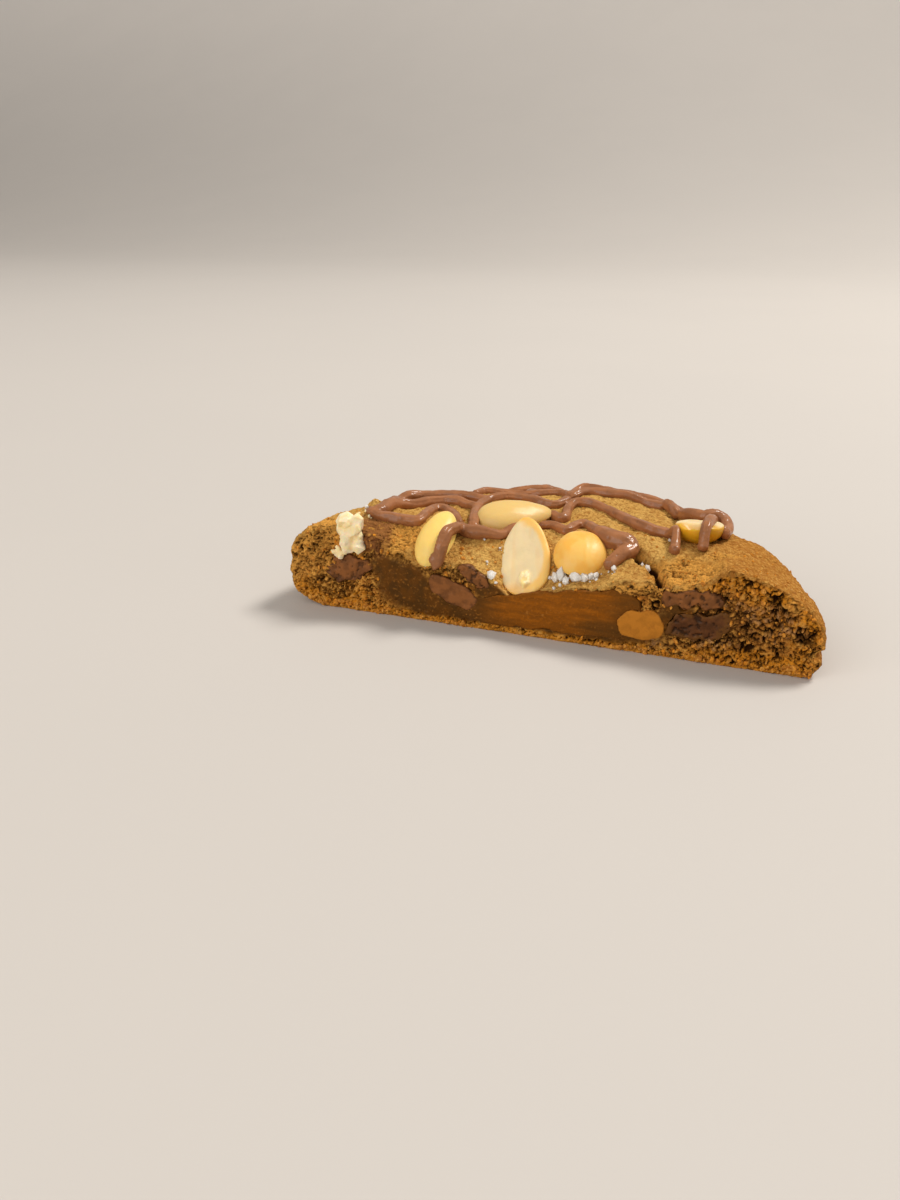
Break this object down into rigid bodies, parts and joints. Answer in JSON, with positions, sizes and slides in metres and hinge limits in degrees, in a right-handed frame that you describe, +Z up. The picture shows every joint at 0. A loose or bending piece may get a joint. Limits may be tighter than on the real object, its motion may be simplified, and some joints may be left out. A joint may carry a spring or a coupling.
{
  "type": "peanut butter cookie half",
  "caption": "Half of a thick round cookie, cut straight across: crumb, caramel filling and chocolate lumps at the cut, split peanuts, drizzle and salt on top",
  "frame": {"origin": "Under the middle of the bounding box, on the surface that the cookie lies on", "axes": "+X along the cut, to the right as one looks at it; +Y from the cut face back to the round rim; +Z up, from the base to the crown"},
  "size_m": [0.1066, 0.0542, 0.022],
  "materials": {
    "baked_dough": "matte golden brown crust and open crumb",
    "peanut": "satin, pale yellow",
    "crushed_peanut": "matte cream",
    "peanut_butter_chip": "waxy light brown",
    "milk_chocolate": "satin milk chocolate brown",
    "melted_chocolate": "dull dark brown",
    "caramel": "moist, glossy amber brown"
  },
  "bodies": {
    "root": {"peanut_standing": "peanut", "peanut_left": "peanut", "peanut_behind": "peanut", "peanut_round": "peanut", "peanut_right": "peanut", "peanut_rear_1": "peanut", "peanut_rear_2": "peanut", "peanut_rear_3": "peanut", "crushed_peanut_1": "crushed_peanut", "crushed_peanut_2": "crushed_peanut", "peanut_butter_chip": "peanut_butter_chip", "chocolate_chunk_1": "milk_chocolate", "chocolate_chunk_2": "milk_chocolate", "chocolate_chunk_3": "milk_chocolate", "chocolate_chunk_4": "milk_chocolate", "melted_chocolate": "melted_chocolate", "caramel_filling": "caramel", "cookie_dough": "baked_dough"}
  },
  "joints": []
}
